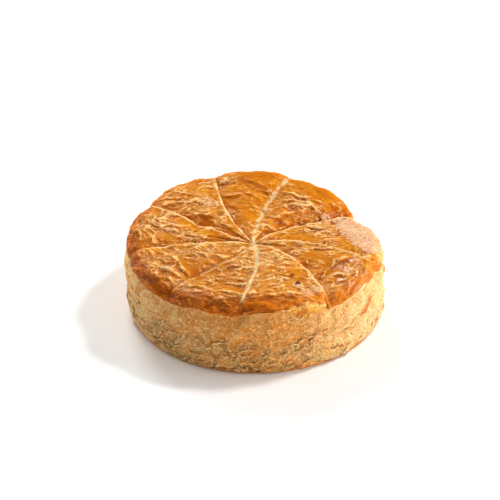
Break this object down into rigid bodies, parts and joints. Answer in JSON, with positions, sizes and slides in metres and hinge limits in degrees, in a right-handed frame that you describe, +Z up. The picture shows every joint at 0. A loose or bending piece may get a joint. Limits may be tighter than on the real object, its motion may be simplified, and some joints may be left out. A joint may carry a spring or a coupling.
{
  "type": "galette des rois",
  "caption": "Round uncut puff pastry cake with a glazed, puffed top cut by curved scores, a flaky straight side and a flat base to rest on.",
  "frame": {"origin": "middle of the outline at the flat base, on the surface that the galette rests on", "axes": "+Z up through the top, -Y towards the front, +X to the right as seen from the front"},
  "size_m": [0.1108, 0.1096, 0.0368],
  "materials": {
    "crust": "browned puff pastry, egg glazed and glossy on top, matte and flaky on the side"
  },
  "bodies": {
    "root": {"galette": "crust"}
  },
  "joints": []
}
